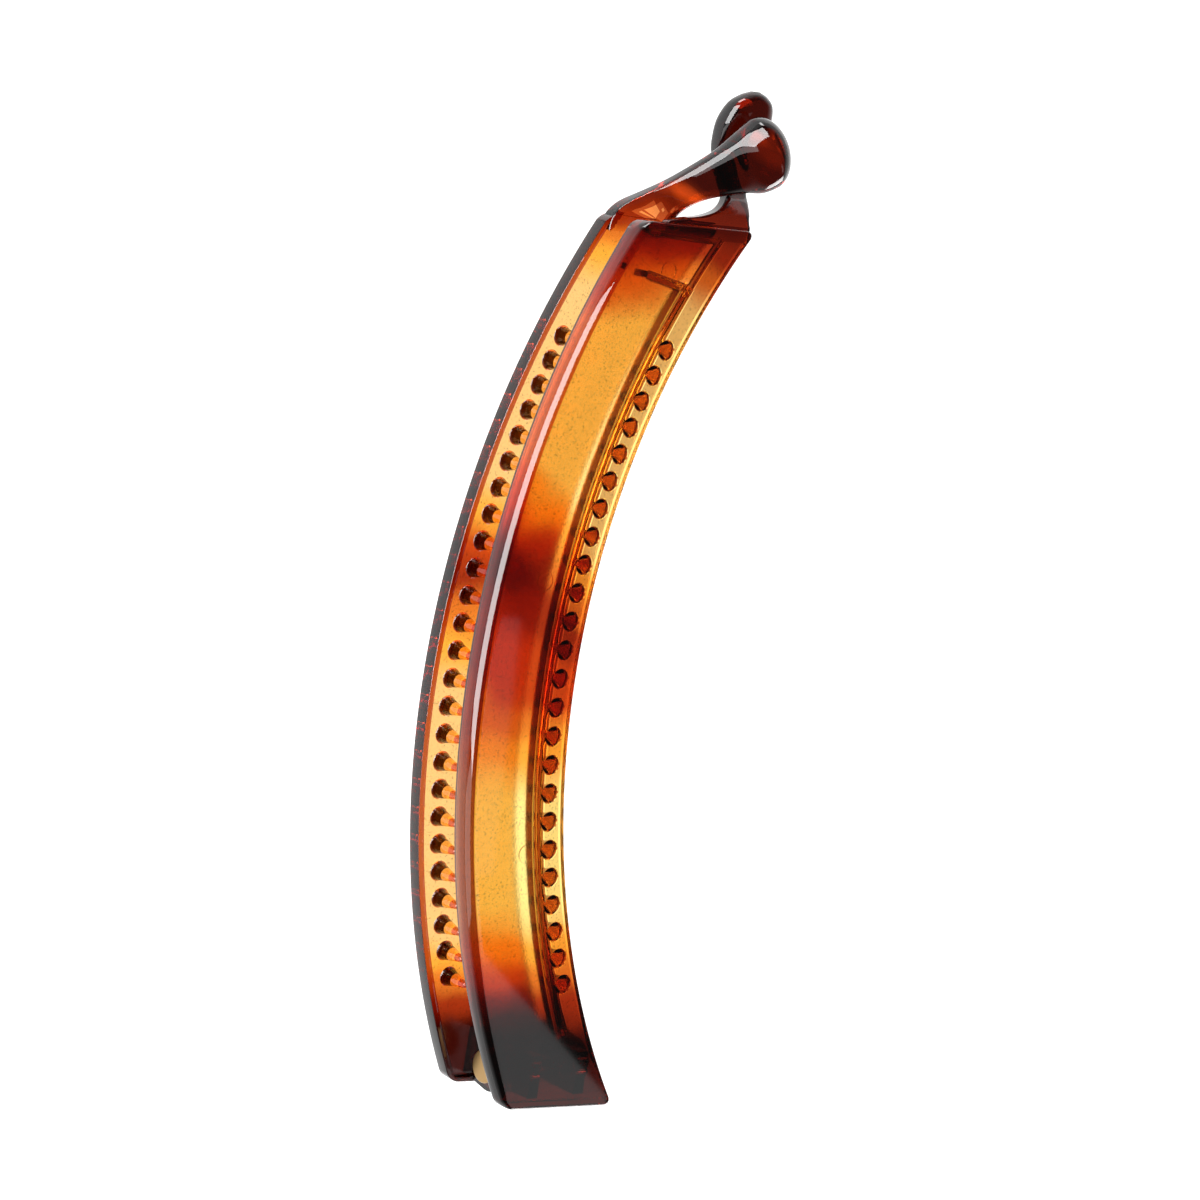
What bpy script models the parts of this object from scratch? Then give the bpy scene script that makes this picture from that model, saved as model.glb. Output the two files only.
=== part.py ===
"""Curved hair clip: two toothed arms, the pin they turn on, and a clasp of two fingers that hook together.

The clip lies closed on the flat outer face of its back arm. X runs along the chord of the curve, from
the hinge to the clasp. Y points to the outer side of the curve, Z up from the back arm to the front arm.
Sizes are in millimetres and become metres when a mesh is made.
"""
import math

import bmesh
import bpy
from mathutils import Vector

MM = 0.001

# Plan of both arms: a band on a circle, cut nearly square to the chord at both ends.
ARC_RADIUS = 130.6      # middle line of the band
ARC_CENTRE_X = -3.7
BAND_WIDTH = 18.6
END_X = 68.8            # the ends lie at plus and minus this
HINGE_END_SLANT = 0.056 # the hinge end runs further out towards the inner side of the curve
CORNER_RADIUS = 1.6
EDGE_BEVEL = 0.4
DRAFT = 0.15            # slope of a moulded wall's inner side
STATIONS = 28
HALF_BAND = BAND_WIDTH / 2

# Pieces that are joined into one moulding overlap, and their faces stay this far out of each other's plane.
FLUSH = 0.1
WALL_INSET = 0.05
END_WALL_INSET = 0.55   # from the band's sides to the ends of the wall along its hinge end
RIDGE_OVERLAP = 0.004   # as an angle

# The part's own origin, in the plan above, lies under the middle of the whole clip.
ORIGIN_X = 10.264
ORIGIN_Y = -13.683

# Back arm: a plate with a low rim round its outer side and its hinge end.
BACK_PLATE = 1.7
BACK_RIM_HEIGHT = 2.5
BACK_RIM_THICKNESS = 0.9

# Front arm: a plate with a deeper wall along its outer side. Heights are measured from the pin.
FRONT_OUTER = 8.2       # outer face above the pin
FRONT_PLATE = 2.0
FRONT_WALL_DEPTH = 3.3
FRONT_WALL_END_DEPTH = 2.3  # the wall is shallower at the hinge end
FRONT_WALL_TAPER = 0.2  # share of the length over which it gets shallower
FRONT_WALL_THICKNESS = 1.0
FRONT_LIP_DEPTH = 2.5   # depth of the lip across the hinge end
FRONT_INNER = FRONT_OUTER - FRONT_PLATE
CLOSED_TILT = 2.27      # degrees that the front arm leans towards the back arm when closed

# Rib and cross bar inside the front arm.
RIB_OFFSET = -5.4
RIB_THICKNESS = 1.0
RIB_DEPTH = 3.2         # below the plate's inner face
RIB_START_ANGLE = -25.4
CROSS_BAR_X = 59.4      # where it meets the rib
CROSS_BAR_END = (61.0, -12.75)
RIDGE_DEPTH = 0.8       # low ridge that goes on from the rib round the clasp end
RIDGE_END_X = 67.1
RIDGE_END_Y = -13.0

# Teeth: rounded cones on a line that follows the curve.
TOOTH_SIDES = 10
TOOTH_LENGTH = 4.7
TOOTH_BASE_RADIUS = 1.5
TOOTH_TIP_RADIUS = 0.5
TOOTH_ROOT = 0.5        # how far it reaches into its plate
# Angles in degrees from the curve's crown, of the first, the middle and the last tooth of a row.
BACK_TEETH = {"count": 25, "offset": 5.0, "first": 23.2, "middle": 2.0, "last": -20.4}
FRONT_TEETH = {"count": 24, "offset": -7.1, "first": 25.6, "middle": 2.3, "last": -21.6}

# Hinge.
PIN_X = -63.8
PIN_Z = 7.95
HINGE_Y = -17.3
PIN_RADIUS = 1.2
PIN_HEAD_RADIUS = 2.65
PIN_HEAD_THICKNESS = 1.2
PIN_HEAD_BEVEL = 0.3
HOLE_RADIUS = 1.5
GAP = 0.3
BACK_LUG_OUTER = 7.9    # from the hinge's middle
LUG_THICKNESS = 2.0
FRONT_LUG_RADIUS = 3.4
BACK_LUG_FOOT = (-67.0, -59.5)
BACK_LUG_RADIUS = 4.1
ROUND_SIDES = 24

# Fingers of the clasp, a row for each section: its centre, the plan direction it faces, half its width
# and height, its roll about that direction, and how square it is (2 is an ellipse).
FINGER_SIDES = 14
FINGER_STEPS = 2        # sections drawn for each row of a table
SECTION = ("x", "y", "z", "turn", "half_width", "half_height", "roll", "squareness")
BACK_FINGER = (
    (66.3, -17.5, 1.45, 0, 6.5, 1.35, 0, 8),
    (68.4, -17.9, 1.50, -4, 6.3, 1.40, 0, 8),
    (69.6, -19.3, 2.00, -34, 4.2, 1.45, 0, 6),
    (71.9, -20.8, 3.40, -48, 2.8, 1.55, -4, 5),
    (74.5, -23.4, 5.60, -52, 2.75, 1.65, -6, 4),
    (77.4, -26.9, 9.00, -52, 3.9, 1.90, -6, 3.2),
    (79.1, -29.1, 10.9, -54, 5.2, 2.80, -3, 2.6),
)
BALL_CENTRE = (80.9, -31.1, 11.8)
BALL_TURN = -56
BALL_AHEAD = 4.1        # from its middle to its tip
BALL_HALF_WIDTH = 5.9
BALL_HALF_HEIGHT = 3.8
BALL_STEPS = 6
BALL_LAST_ANGLE = 84
# Heights of this one are measured from the front arm's outer face.
FRONT_FINGER = (
    (66.8, -24.2, -1.55, 0, 8.2, 0.85, 0, 8),
    (68.9, -24.2, -1.55, 0, 8.4, 0.90, 0, 8),
    (69.6, -25.5, -1.70, 0, 7.0, 0.95, 0, 7),
    (70.3, -27.7, -1.95, 0, 4.8, 1.05, 0, 6),
    (71.3, -29.5, -2.50, 0, 3.3, 1.15, 0, 5),
    (72.7, -30.9, -3.70, 0, 2.4, 1.25, 0, 4),
    (74.2, -31.7, -5.10, 0, 2.1, 1.35, 0, 4),
    (77.0, -31.9, -6.30, 0, 2.6, 1.40, 0, 4),
    (79.7, -31.8, -6.50, 0, 3.7, 1.60, 0, 3.5),
    (82.2, -31.9, -5.90, 0, 4.5, 2.10, 0, 3),
    (85.0, -32.0, -5.10, 0, 4.75, 2.40, 0, 2.8),
    (87.6, -32.2, -4.40, 0, 4.0, 2.20, 0, 2.5),
    (89.0, -32.4, -4.10, 0, 2.5, 1.50, 0, 2.2),
    (89.7, -32.5, -4.00, 0, 0.8, 0.60, 0, 2),
)

PLASTIC = {"colour": (0.50, 0.16, 0.03, 1.0), "roughness": 0.12, "metallic": 0.0}
GOLD = {"colour": (0.80, 0.58, 0.28, 1.0), "roughness": 0.25, "metallic": 1.0}


def clear_scene():
    for obj in list(bpy.data.objects):
        bpy.data.objects.remove(obj, do_unlink=True)


def material(name, look):
    mat = bpy.data.materials.new(name)
    mat.use_nodes = True
    shader = mat.node_tree.nodes["Principled BSDF"]
    shader.inputs["Base Color"].default_value = look["colour"]
    shader.inputs["Roughness"].default_value = look["roughness"]
    shader.inputs["Metallic"].default_value = look["metallic"]
    return mat


def solid(name, verts, faces, base=(0.0, 0.0, 0.0)):
    """Object from points in millimetres, with its origin at base, shaded smooth but for its sharp edges."""
    mesh = bpy.data.meshes.new(name)
    shift = Vector(base)
    mesh.from_pydata([(Vector(point) - shift) * MM for point in verts], [], faces)
    work = bmesh.new()
    work.from_mesh(mesh)
    bmesh.ops.recalc_face_normals(work, faces=work.faces)
    work.to_mesh(mesh)
    work.free()
    mesh.shade_smooth()
    mesh.set_sharp_from_angle(angle=math.radians(35))
    obj = bpy.data.objects.new(name, mesh)
    obj.location = shift * MM
    bpy.context.scene.collection.objects.link(obj)
    return obj


def loft_mesh(rings):
    """Points and faces of a closed skin through rings of equally many points."""
    sides = len(rings[0])
    verts = [point for ring in rings for point in ring]
    faces = [tuple(range(sides)), tuple(range(len(verts) - sides, len(verts)))]
    for step in range(len(rings) - 1):
        first = step * sides
        for side in range(sides):
            after = (side + 1) % sides
            faces.append((first + side, first + after, first + sides + after, first + sides + side))
    return verts, faces


def joined(parts):
    """Points and faces of several closed skins as one list each."""
    verts, faces = [], []
    for part_verts, part_faces in parts:
        start = len(verts)
        verts += part_verts
        faces += [tuple(index + start for index in face) for face in part_faces]
    return verts, faces


def on_arc(offset, angle):
    """Plan place at an offset outwards from the band's middle line, at an angle from the curve's crown."""
    radius = ARC_RADIUS + offset
    x = ARC_CENTRE_X + radius * math.sin(angle)
    y = radius * math.cos(angle) - ARC_RADIUS
    return x - ORIGIN_X, y - ORIGIN_Y


def end_angles(offset):
    """Angles of the hinge end and of the clasp end at an offset, with the plan's corners rounded."""
    from_side = HALF_BAND - abs(offset)
    cut = 0.0
    if from_side < CORNER_RADIUS:
        cut = CORNER_RADIUS - math.sqrt(CORNER_RADIUS**2 - (CORNER_RADIUS - from_side)**2)
    radius = ARC_RADIUS + offset
    hinge_end = -math.asin((END_X - HINGE_END_SLANT * offset - cut + ARC_CENTRE_X) / radius)
    clasp_end = math.asin((END_X - cut - ARC_CENTRE_X) / radius)
    return hinge_end, clasp_end


def band(columns, low_bevel, high_bevel):
    """Skin of an arm. Columns across it hold an offset, a low and a high height, and the low one's
    height at the hinge end, which it nears along a share of the length."""
    end_step = EDGE_BEVEL / END_X
    shares = [step / STATIONS for step in range(STATIONS + 1)]
    shares = [0.0, end_step] + shares[1:-1] + [1 - end_step, 1.0]
    rings = []
    for share in shares:
        at_end = share in (0.0, 1.0)
        taper = max(0.0, 1 - share / FRONT_WALL_TAPER)
        low_ring, high_ring = [], []
        for offset, low, high, end_low in columns:
            start, stop = end_angles(offset)
            x, y = on_arc(offset, start + share * (stop - start))
            low_here = low + (end_low - low) * taper
            low_ring.append((x, y, low_here + (low_bevel if at_end else 0.0)))
            high_ring.append((x, y, high - (high_bevel if at_end else 0.0)))
        rings.append(low_ring + high_ring[::-1])
    verts, faces = loft_mesh(rings)
    faces = faces[2:]
    width = len(columns)
    for first in (0, len(verts) - 2 * width):
        for step in range(width - 1):
            across = first + 2 * width - 1 - step
            faces.append((first + step, first + step + 1, across - 1, across))
    return verts, faces


def arc_bar(offset, thickness, start, stop, low, high, steps):
    """Skin of a bar that follows the curve between two angles."""
    rings = []
    for step in range(steps + 1):
        angle = start + (stop - start) * step / steps
        inner = on_arc(offset - thickness / 2, angle)
        outer = on_arc(offset + thickness / 2, angle)
        rings.append([(*inner, low), (*outer, low), (*outer, high), (*inner, high)])
    return loft_mesh(rings)


def cross_wall(ends, thickness, low, high):
    """Skin of a straight wall between two (x, y) plan points, its thickness along X."""
    rings = []
    for x, y in ends:
        rings.append([(x, y, low), (x + thickness, y, low), (x + thickness, y, high), (x, y, high)])
    return loft_mesh(rings)


def hinge_end_wall(from_side, thickness, low, high):
    """Skin of a wall along the band's hinge end, which stops this far from the band's two sides."""
    ends = []
    for offset in (-HALF_BAND + from_side, HALF_BAND - from_side):
        x, y = on_arc(offset, end_angles(offset)[0])
        ends.append((x + WALL_INSET, y))
    return cross_wall(ends, thickness - WALL_INSET, low, high)


def slab(outline, y_range):
    """Skin of an outline of (x, z) points drawn out along Y."""
    return loft_mesh([[(x - ORIGIN_X, y - ORIGIN_Y, z) for x, z in outline] for y in y_range])


def circle(centre_x, centre_z, radius, start=0.0, stop=360.0, steps=ROUND_SIDES):
    """Points (x, z) of an arc. A whole circle leaves out its last point, which is its first."""
    count = steps if stop - start == 360.0 else steps + 1
    angles = [math.radians(start + (stop - start) * step / steps) for step in range(count)]
    return [(centre_x + radius * math.cos(angle), centre_z + radius * math.sin(angle)) for angle in angles]


def tooth(offset, angle, root, direction):
    """Skin of a rounded cone that stands on a plate at height root and points up or down."""
    x, y = on_arc(offset, angle)
    tip_start = TOOTH_LENGTH - TOOTH_TIP_RADIUS
    levels = [(-TOOTH_ROOT, TOOTH_BASE_RADIUS), (0.0, TOOTH_BASE_RADIUS), (tip_start, TOOTH_TIP_RADIUS),
              (TOOTH_LENGTH, TOOTH_TIP_RADIUS / 2)]
    rings = []
    for height, radius in levels:
        ring = []
        for side in range(TOOTH_SIDES):
            turn = 2 * math.pi * side / TOOTH_SIDES
            ring.append((x + radius * math.cos(turn), y + radius * math.sin(turn), root + direction * height))
        rings.append(ring)
    return loft_mesh(rings)


def tooth_row(row, root, direction):
    ends_mean = (row["first"] + row["last"]) / 2
    skins = []
    for index in range(row["count"]):
        share = index / (row["count"] - 1)
        angle = row["first"] + share * (row["last"] - row["first"])
        angle += (row["middle"] - ends_mean) * 4 * share * (1 - share)
        skins.append(tooth(row["offset"], math.radians(angle), root, direction))
    return joined(skins)


def smooth_rows(rows, steps):
    """Rows of a table with steps rows for each of its gaps, on a smooth curve through all of them."""
    result = []
    for index in range(len(rows) - 1):
        before = rows[max(index - 1, 0)]
        first, second = rows[index], rows[index + 1]
        after = rows[min(index + 2, len(rows) - 1)]
        for step in range(steps):
            t = step / steps
            result.append(tuple(
                0.5 * (2 * b + (c - a) * t + (2 * a - 5 * b + 4 * c - d) * t**2
                       + (3 * b - a - 3 * c + d) * t**3)
                for a, b, c, d in zip(before, first, second, after)))
    return result + [rows[-1]]


def section_ring(row, base_height):
    """Ring of a finger's section: a rounded rectangle that stands upright and faces its turn."""
    part = dict(zip(SECTION, row))
    turn = math.radians(part["turn"])
    roll = math.radians(part["roll"])
    power = 2 / part["squareness"]
    ring = []
    for side in range(FINGER_SIDES):
        angle = 2 * math.pi * (side + 0.5) / FINGER_SIDES
        across = math.copysign(abs(math.cos(angle))**power, math.cos(angle)) * part["half_width"]
        up = math.copysign(abs(math.sin(angle))**power, math.sin(angle)) * part["half_height"]
        across, up = (across * math.cos(roll) - up * math.sin(roll),
                      across * math.sin(roll) + up * math.cos(roll))
        ring.append((part["x"] - across * math.sin(turn) - ORIGIN_X,
                     part["y"] + across * math.cos(turn) - ORIGIN_Y,
                     part["z"] + up + base_height))
    return ring


def ball_rows():
    """Sections of the back finger's ball, from its middle to its tip."""
    turn = math.radians(BALL_TURN)
    rows = []
    for step in range(BALL_STEPS + 1):
        angle = math.radians(BALL_LAST_ANGLE) * step / BALL_STEPS
        ahead = BALL_AHEAD * math.sin(angle)
        size = math.cos(angle)
        x = BALL_CENTRE[0] + ahead * math.cos(turn)
        y = BALL_CENTRE[1] + ahead * math.sin(turn)
        rows.append((x, y, BALL_CENTRE[2], BALL_TURN, BALL_HALF_WIDTH * size, BALL_HALF_HEIGHT * size, 0, 2))
    return rows


def back_finger():
    balls = ball_rows()
    rows = smooth_rows(list(BACK_FINGER) + balls[:1], FINGER_STEPS) + balls[1:]
    return loft_mesh([section_ring(row, 0.0) for row in rows])


def front_finger():
    rows = smooth_rows(list(FRONT_FINGER), FINGER_STEPS)
    return loft_mesh([section_ring(row, FRONT_OUTER + PIN_Z) for row in rows])


def boolean(target, tool, operation):
    """Add a tool object to a target object, or cut it out, with a modifier that stays on the target."""
    tool.hide_render = True
    tool.display_type = "WIRE"
    change = target.modifiers.new(tool.name, "BOOLEAN")
    change.operation = operation
    change.object = tool
    change.solver = "EXACT"


def lug_spans(outer):
    """Y ranges of a pair of lugs whose outer faces lie at this distance from the hinge's middle."""
    return [(HINGE_Y - outer, HINGE_Y - outer + LUG_THICKNESS),
            (HINGE_Y + outer - LUG_THICKNESS, HINGE_Y + outer)]


def build_back_arm(plastic):
    half, bevel = HALF_BAND, EDGE_BEVEL
    rim_foot = half - BACK_RIM_THICKNESS - DRAFT
    columns = [(-half, bevel, BACK_PLATE - bevel / 2), (-half + bevel, 0.0, BACK_PLATE),
               (-half + CORNER_RADIUS / 2, 0.0, BACK_PLATE), (-half + CORNER_RADIUS, 0.0, BACK_PLATE),
               (half - CORNER_RADIUS, 0.0, BACK_PLATE), (rim_foot, 0.0, BACK_PLATE),
               (rim_foot + DRAFT, 0.0, BACK_RIM_HEIGHT), (half - bevel, 0.0, BACK_RIM_HEIGHT),
               (half, bevel, BACK_RIM_HEIGHT - bevel / 2)]
    columns = [(offset, low, high, low) for offset, low, high in columns]
    arm = solid("back_arm", *band(columns, bevel, 0.0))
    arm.data.materials.append(plastic)

    end_rim = hinge_end_wall(END_WALL_INSET, BACK_RIM_THICKNESS, BACK_PLATE / 2, BACK_RIM_HEIGHT - FLUSH)
    foot_start, foot_end = BACK_LUG_FOOT
    lug_outline = [(foot_start, BACK_PLATE / 2), (foot_end, BACK_PLATE / 2), (foot_end, BACK_RIM_HEIGHT + FLUSH)]
    lug_outline += circle(PIN_X, PIN_Z, BACK_LUG_RADIUS, 20, 190, 10)
    lug_outline += [(foot_start, BACK_RIM_HEIGHT + FLUSH)]
    lugs = [slab(lug_outline, span) for span in lug_spans(BACK_LUG_OUTER)]
    boolean(arm, solid("back_teeth", *tooth_row(BACK_TEETH, BACK_PLATE, 1)), "UNION")
    boolean(arm, solid("back_finger", *back_finger()), "UNION")
    boolean(arm, solid("back_end_rim", *end_rim), "UNION")
    boolean(arm, solid("back_lugs", *joined(lugs)), "UNION")
    hole = slab(circle(PIN_X, PIN_Z, HOLE_RADIUS), (HINGE_Y - 2 * BACK_LUG_OUTER, HINGE_Y + 2 * BACK_LUG_OUTER))
    boolean(arm, solid("back_pin_hole", *hole), "DIFFERENCE")
    return arm


def hinge_point():
    return (PIN_X - ORIGIN_X, HINGE_Y - ORIGIN_Y, PIN_Z)


def build_front_arm(plastic):
    """The front arm, built lying level over the back arm and leaned to the closed place by its empty."""
    half, bevel = HALF_BAND, EDGE_BEVEL
    top = PIN_Z + FRONT_OUTER
    inner = PIN_Z + FRONT_INNER
    wall_foot = half - FRONT_WALL_THICKNESS - DRAFT
    wall = top - FRONT_WALL_DEPTH
    end_wall = top - FRONT_WALL_END_DEPTH
    columns = [(-half, inner + bevel / 2, top - bevel, inner + bevel / 2), (-half + bevel, inner, top, inner),
               (-half + CORNER_RADIUS / 2, inner, top, inner), (-half + CORNER_RADIUS, inner, top, inner),
               (half - CORNER_RADIUS, inner, top, inner), (wall_foot, inner, top, inner),
               (wall_foot + DRAFT, wall, top, end_wall), (half - bevel, wall, top, end_wall),
               (half, wall + bevel / 2, top - bevel, end_wall + bevel / 2)]
    base = hinge_point()
    arm = solid("front_arm", *band(columns, 0.0, bevel), base)
    arm.data.materials.append(plastic)

    rib_radius = ARC_RADIUS + RIB_OFFSET
    rib_stop = math.asin((CROSS_BAR_X - ARC_CENTRE_X) / rib_radius)
    ridge_stop = math.asin((RIDGE_END_X - ARC_CENTRE_X) / rib_radius)
    into_plate = inner + FRONT_PLATE / 2
    half_bar = RIB_THICKNESS / 2
    rib_foot = inner - RIB_DEPTH
    ridge_foot = inner - RIDGE_DEPTH
    rib = arc_bar(RIB_OFFSET, RIB_THICKNESS, math.radians(RIB_START_ANGLE), rib_stop, rib_foot, into_plate,
                  STATIONS)
    ridge = arc_bar(RIB_OFFSET, RIB_THICKNESS, rib_stop - RIDGE_OVERLAP, ridge_stop,
                    ridge_foot, into_plate - FLUSH, 2)
    bar_from = on_arc(RIB_OFFSET, rib_stop - RIDGE_OVERLAP)
    bar_to = (CROSS_BAR_END[0] - ORIGIN_X, CROSS_BAR_END[1] - ORIGIN_Y)
    cross_bar = cross_wall([(x - half_bar, y) for x, y in (bar_from, bar_to)], RIB_THICKNESS,
                           rib_foot + FLUSH, into_plate + FLUSH)
    ridge_from = on_arc(RIB_OFFSET, ridge_stop - RIDGE_OVERLAP)
    ridge_to = (RIDGE_END_X - ORIGIN_X, RIDGE_END_Y - ORIGIN_Y)
    end_ridge = cross_wall([(x - half_bar, y) for x, y in (ridge_from, ridge_to)], RIB_THICKNESS,
                           ridge_foot + FLUSH, into_plate + 2 * FLUSH)
    end_lip = hinge_end_wall(END_WALL_INSET, FRONT_WALL_THICKNESS, top - FRONT_LIP_DEPTH, into_plate)

    lug_outline = [(PIN_X + FRONT_LUG_RADIUS, into_plate), (PIN_X - FRONT_LUG_RADIUS, into_plate)]
    lug_outline += circle(PIN_X, PIN_Z, FRONT_LUG_RADIUS, 180, 360, 10)
    front_lug_outer = BACK_LUG_OUTER - LUG_THICKNESS - GAP
    lugs = [slab(lug_outline, span) for span in lug_spans(front_lug_outer)]
    hole = slab(circle(PIN_X, PIN_Z, HOLE_RADIUS), (HINGE_Y - BACK_LUG_OUTER, HINGE_Y + BACK_LUG_OUTER))
    tools = [("front_teeth", tooth_row(FRONT_TEETH, inner, -1), "UNION"),
             ("front_rib", rib, "UNION"), ("front_ridge", ridge, "UNION"),
             ("front_cross_bar", cross_bar, "UNION"), ("front_end_ridge", end_ridge, "UNION"),
             ("front_finger", front_finger(), "UNION"), ("front_end_lip", end_lip, "UNION"),
             ("front_lugs", joined(lugs), "UNION"), ("front_pin_hole", hole, "DIFFERENCE")]
    pieces = [arm]
    for name, skin, operation in tools:
        tool = solid(name, *skin, base)
        boolean(arm, tool, operation)
        pieces.append(tool)
    return pieces


def build_pin(gold):
    """Pin with a flat head outside each of the back arm's lugs."""
    head_inner = BACK_LUG_OUTER + GAP
    head_outer = head_inner + PIN_HEAD_THICKNESS
    rim = PIN_HEAD_BEVEL
    levels = [(-head_outer, PIN_HEAD_RADIUS - rim), (-head_outer + rim, PIN_HEAD_RADIUS),
              (-head_inner, PIN_HEAD_RADIUS), (-head_inner, PIN_RADIUS),
              (head_inner, PIN_RADIUS), (head_inner, PIN_HEAD_RADIUS),
              (head_outer - rim, PIN_HEAD_RADIUS), (head_outer, PIN_HEAD_RADIUS - rim)]
    rings = []
    for along, radius in levels:
        ring = circle(PIN_X, PIN_Z, radius)
        rings.append([(x - ORIGIN_X, HINGE_Y + along - ORIGIN_Y, z) for x, z in ring])
    pin = solid("hinge_pin", *loft_mesh(rings), hinge_point())
    pin.data.materials.append(gold)


def main():
    clear_scene()
    plastic = material("tortoiseshell", PLASTIC)
    gold = material("gold_metal", GOLD)
    build_back_arm(plastic)
    build_pin(gold)
    hinge = bpy.data.objects.new("front_hinge", None)
    bpy.context.scene.collection.objects.link(hinge)
    hinge.location = Vector(hinge_point()) * MM
    hinge.rotation_euler = (0.0, math.radians(CLOSED_TILT), 0.0)
    for piece in build_front_arm(plastic):
        piece.parent = hinge
        piece.location = (0.0, 0.0, 0.0)


main()
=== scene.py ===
"""Looks of the curved hair clip: clear tortoiseshell plastic arms and their gold pin, on a pale floor.

The arms are built again here from the same sizes as the solids, with finer curves and rounded edges.
Sizes are in millimetres in the plan of the arms and become metres in the row frame when a mesh is made.
"""
import math

import bmesh
import bpy
from mathutils import Matrix, Vector


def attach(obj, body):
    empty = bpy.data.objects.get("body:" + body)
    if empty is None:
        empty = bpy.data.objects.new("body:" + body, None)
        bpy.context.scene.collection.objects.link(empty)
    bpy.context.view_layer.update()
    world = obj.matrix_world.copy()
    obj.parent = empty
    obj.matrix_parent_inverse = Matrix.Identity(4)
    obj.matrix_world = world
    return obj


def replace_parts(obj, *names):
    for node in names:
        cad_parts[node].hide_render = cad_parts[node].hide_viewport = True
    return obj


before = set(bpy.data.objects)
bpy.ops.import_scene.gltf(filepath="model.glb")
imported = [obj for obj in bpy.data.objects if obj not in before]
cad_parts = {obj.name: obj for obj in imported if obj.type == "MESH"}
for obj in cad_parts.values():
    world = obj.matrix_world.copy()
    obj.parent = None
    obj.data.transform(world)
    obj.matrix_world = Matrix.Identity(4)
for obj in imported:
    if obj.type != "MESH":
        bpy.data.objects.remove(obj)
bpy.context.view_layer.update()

MM = 0.001

# Plan of both arms
ARC_RADIUS = 130.6
ARC_CENTRE_X = -3.7
BAND_WIDTH = 18.6
HALF_BAND = BAND_WIDTH / 2
END_X = 68.8
HINGE_END_SLANT = 0.056
CORNER_RADIUS = 1.6
ORIGIN_X = 10.264
ORIGIN_Y = -13.683

# How finely the arms are divided, along them and across them
STATION_LENGTH = 1.1
MIDDLE_STEP = 1.2
CORNER_STEP = 0.5
STEP_BESIDE_ROUND = 0.12
SMALLEST_STEP = 0.025
EDGE_PARTS = 5
WALL_TIP_PARTS = 3
WALL_FILLET_PARTS = 7

# Back arm
BACK_PLATE = 1.7
BACK_RIM_HEIGHT = 2.5
BACK_RIM_THICKNESS = 0.9
BACK_EDGE_ROUND = 0.35

# Front arm, heights from the pin
FRONT_OUTER = 8.2
FRONT_PLATE = 2.0
FRONT_INNER = FRONT_OUTER - FRONT_PLATE
FRONT_WALL_DEPTH = 3.3
FRONT_WALL_END_DEPTH = 2.3
FRONT_WALL_TAPER = 0.2
FRONT_WALL_THICKNESS = 1.0
FRONT_EDGE_ROUND = 0.4
FRONT_SIDE_ROUND = 1.9
CLOSED_TILT = 2.27

# Small rounds of moulded walls
WALL_DRAFT = 0.15
WALL_TIP_ROUND = 0.2
BACK_WALL_FILLET = 0.45
FRONT_WALL_FILLET = 1.3
FILLET_SHARE_OF_WALL = 0.7

# Rib, cross bar and ridge inside the front arm
RIB_OFFSET = -5.4
RIB_HALF_THICKNESS = 0.5
RIB_DEPTH = 3.2
RIB_PANEL_FILLET = 1.4
RIB_TOOTH_FILLET = 0.3
RIB_START_ANGLE = -25.4
CROSS_BAR_X = 59.4
CROSS_BAR_END = (60.8, -13.5)
RIDGE_DEPTH = 0.8
RIDGE_HALF_THICKNESS = 0.35
RIDGE_END_X = 67.1
RIDGE_END_Y = -13.0
RIDGE_OVERLAP_ANGLE = 0.004
BAR_TIP_ROUND_SHARE = 0.6
BAR_FILLET_PARTS = 8
BAR_TIP_PARTS = 4

# The bars' roots in the plate and their tips differ a little, so that no two of their faces coincide
BAR_ROOTS = (0.60, 0.64, 0.68, 0.72)
BAR_TIP_STEP = 0.02

# Teeth
TOOTH_SIDES = 24
TOOTH_PARTS = 5
TOOTH_LENGTH = 4.7
TOOTH_BASE_RADIUS = 1.5
TOOTH_TIP_RADIUS = 0.5
TOOTH_TIP_ANGLE = 85
TOOTH_ROOT = 0.5
TOOTH_FOOT = 0.12
BACK_TEETH = {"count": 25, "offset": 5.0, "first": 23.2, "middle": 2.0, "last": -20.4}
FRONT_TEETH = {"count": 24, "offset": -7.1, "first": 25.6, "middle": 2.3, "last": -21.6}

# Marks of the ejector pins on the front arm's inner face: (x, y) in the plan
EJECTOR_MARKS = ((61.5, -17.5), (14.0, -1.6), (-28.0, -5.0), (-63.0, -19.0))
EJECTOR_RADIUS = 1.5
EJECTOR_GROOVE = 0.14
EJECTOR_SIDES = 40

# Hinge
PIN_X = -63.8
PIN_Z = 7.95
HINGE_Y = -17.3
PIN_RADIUS = 1.2
PIN_HEAD_RADIUS = 2.65
PIN_HEAD_THICKNESS = 1.2
PIN_HEAD_ROUND = 0.3
HOLE_RADIUS = 1.5
GAP = 0.3
BACK_LUG_OUTER = 7.9
LUG_THICKNESS = 2.0
FRONT_LUG_RADIUS = 3.4
BACK_LUG_FOOT = (-67.0, -59.5)
BACK_LUG_RADIUS = 4.1
BACK_LUG_SHOULDER = 2.6
BACK_LUG_ARC = (20, 190)
FRONT_LUG_ARC = (180, 360)
LUG_STEPS = 24

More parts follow.
